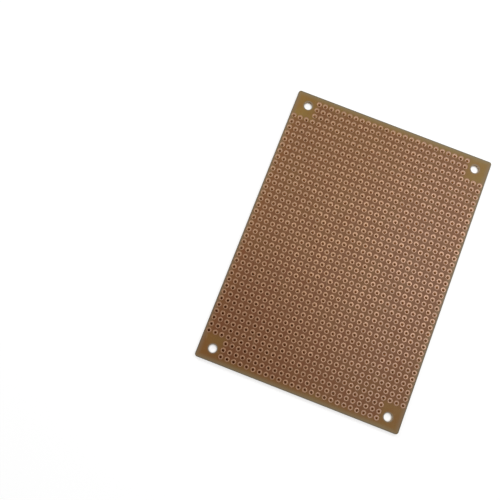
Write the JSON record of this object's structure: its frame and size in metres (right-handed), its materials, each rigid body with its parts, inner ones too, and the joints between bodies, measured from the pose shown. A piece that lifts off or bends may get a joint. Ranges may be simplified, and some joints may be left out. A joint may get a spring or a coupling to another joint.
{
  "type": "prototype board",
  "caption": "Flat prototype board of phenolic paper laminate, punched on a square grid with a round copper pad at every lead hole and a mounting hole in each corner.",
  "frame": {"origin": "centre of the plain underside, on the surface that the board lies on", "axes": "+Z out of the copper face, +Y along the board's length, +X across its width"},
  "size_m": [0.0794, 0.11, 0.0016],
  "materials": {
    "laminate": "olive-brown phenolic paper laminate, satin resin faces with faint paper mottling, raw sheared edges",
    "copper_foil": "etched copper foil, satin, lightly dulled by lacquer and handling"
  },
  "bodies": {
    "root": {"laminate": "laminate", "pads_row_01": "copper_foil", "pads_row_02": "copper_foil", "pads_row_03": "copper_foil", "pads_row_04": "copper_foil", "pads_row_05": "copper_foil", "pads_row_06": "copper_foil", "pads_row_07": "copper_foil", "pads_row_08": "copper_foil", "pads_row_09": "copper_foil", "pads_row_10": "copper_foil", "pads_row_11": "copper_foil", "pads_row_12": "copper_foil", "pads_row_13": "copper_foil", "pads_row_14": "copper_foil", "pads_row_15": "copper_foil", "pads_row_16": "copper_foil", "pads_row_17": "copper_foil", "pads_row_18": "copper_foil", "pads_row_19": "copper_foil", "pads_row_20": "copper_foil", "pads_row_21": "copper_foil", "pads_row_22": "copper_foil", "pads_row_23": "copper_foil", "pads_row_24": "copper_foil", "pads_row_25": "copper_foil", "pads_row_26": "copper_foil", "pads_row_27": "copper_foil", "pads_row_28": "copper_foil", "pads_row_29": "copper_foil", "pads_row_30": "copper_foil", "pads_row_31": "copper_foil", "pads_row_32": "copper_foil", "pads_row_33": "copper_foil", "pads_row_34": "copper_foil", "pads_row_35": "copper_foil", "pads_row_36": "copper_foil", "pads_row_37": "copper_foil", "pads_row_38": "copper_foil", "pads_row_39": "copper_foil", "pads_row_40": "copper_foil", "pads_row_41": "copper_foil", "pads_row_42": "copper_foil"}
  },
  "joints": []
}
